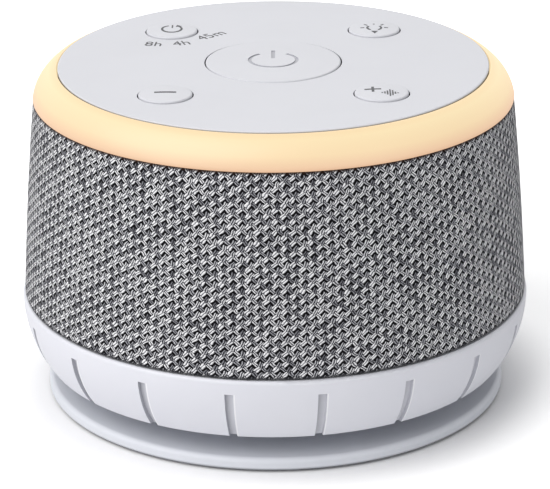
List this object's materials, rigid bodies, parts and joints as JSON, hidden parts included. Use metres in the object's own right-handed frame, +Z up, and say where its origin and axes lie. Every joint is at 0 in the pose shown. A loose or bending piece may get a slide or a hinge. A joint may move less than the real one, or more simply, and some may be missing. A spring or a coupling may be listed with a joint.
{
  "type": "white noise sound machine",
  "caption": "Drum-shaped bedside sound machine: cloth body over a fan, glowing ring round a button panel, grooved turning ring on a round foot.",
  "frame": {"origin": "centre of the underside of the rubber foot ring", "axes": "+Z up through the middle of the drum, the controls read from the -Y side, +X to the right"},
  "size_m": [0.1404, 0.1404, 0.0939],
  "materials": {
    "rubber": "matte",
    "foot_plastic": "satin",
    "black_plastic": "matte",
    "white_plastic": "matte",
    "ring_plastic": "satin",
    "dark_plastic": "matte",
    "screw_steel": "satin",
    "marled_cloth": "woven",
    "lamp_diffuser": "satin",
    "circuit_board": "gloss",
    "lamp_emitter": "gloss",
    "panel_plastic": "satin",
    "motor_aluminium": "satin",
    "motor_steel": "satin",
    "copper_wire": "satin",
    "bearing_bronze": "satin",
    "magnet": "matte",
    "button_plastic": "satin",
    "lead_rubber": "matte"
  },
  "bodies": {
    "housing": {"board_chips": "black_plastic", "board_screws": "screw_steel", "bracket_screws": "screw_steel", "cage_screws": "screw_steel", "control_board": "circuit_board", "dc_socket": "black_plastic", "fabric_sleeve": "marled_cloth", "fan_lead": "lead_rubber", "fan_shroud": "dark_plastic", "foot_base": "foot_plastic", "foot_ring": "rubber", "foot_screws": "screw_steel", "frame_screws": "screw_steel", "glide_washer": "white_plastic", "grille_frame": "dark_plastic", "light_board": "circuit_board", "light_leds": "lamp_emitter", "light_ring": "lamp_diffuser", "lower_bearing": "bearing_bronze", "lower_housing": "dark_plastic", "motor_board": "circuit_board", "motor_bracket": "motor_aluminium", "motor_grommets": "rubber", "power_lead": "lead_rubber", "shroud_screws": "screw_steel", "stator_coils": "copper_wire", "stator_core": "motor_steel", "tact_switches": "black_plastic", "timer_leds": "lamp_emitter", "top_frame": "white_plastic", "top_panel": "panel_plastic", "upper_bearing": "bearing_bronze"},
    "tone_ring": {"tone_ring": "ring_plastic"},
    "fan": {"motor_shaft": "motor_steel", "shaft_clip": "motor_steel", "rotor_cup": "motor_steel", "rotor_magnet": "magnet", "impeller": "dark_plastic"},
    "power_control": {"power_button": "button_plastic", "power_plunger": "white_plastic"},
    "timer_control": {"timer_button": "button_plastic", "timer_plunger": "white_plastic"},
    "light_control": {"light_button": "button_plastic", "light_plunger": "white_plastic"},
    "minus_control": {"minus_button": "button_plastic", "minus_plunger": "white_plastic"},
    "plus_control": {"plus_button": "button_plastic", "plus_plunger": "white_plastic"}
  },
  "joints": [
    {"name": "tone_ring_turn", "type": "hinge", "parent": "housing", "child": "tone_ring", "pos_m": [0, 0, 0.0137], "axis": [0, 0, 1], "range_deg": [0, 20]},
    {"name": "fan_spin", "type": "hinge", "parent": "housing", "child": "fan", "pos_m": [0, 0, 0.04], "axis": [0, 0, 1], "continuous": true},
    {"name": "power_press", "type": "slide", "parent": "housing", "child": "power_control", "axis": [0, 0, -1], "range_m": [0, 0.0008], "stiffness_N_per_m": 300, "springref_m": -0.0005},
    {"name": "timer_press", "type": "slide", "parent": "housing", "child": "timer_control", "axis": [0, 0, -1], "range_m": [0, 0.0006], "stiffness_N_per_m": 300, "springref_m": -0.0005},
    {"name": "light_press", "type": "slide", "parent": "housing", "child": "light_control", "axis": [0, 0, -1], "range_m": [0, 0.0006], "stiffness_N_per_m": 300, "springref_m": -0.0005},
    {"name": "minus_press", "type": "slide", "parent": "housing", "child": "minus_control", "axis": [0, 0, -1], "range_m": [0, 0.0006], "stiffness_N_per_m": 300, "springref_m": -0.0005},
    {"name": "plus_press", "type": "slide", "parent": "housing", "child": "plus_control", "axis": [0, 0, -1], "range_m": [0, 0.0006], "stiffness_N_per_m": 300, "springref_m": -0.0005}
  ]
}
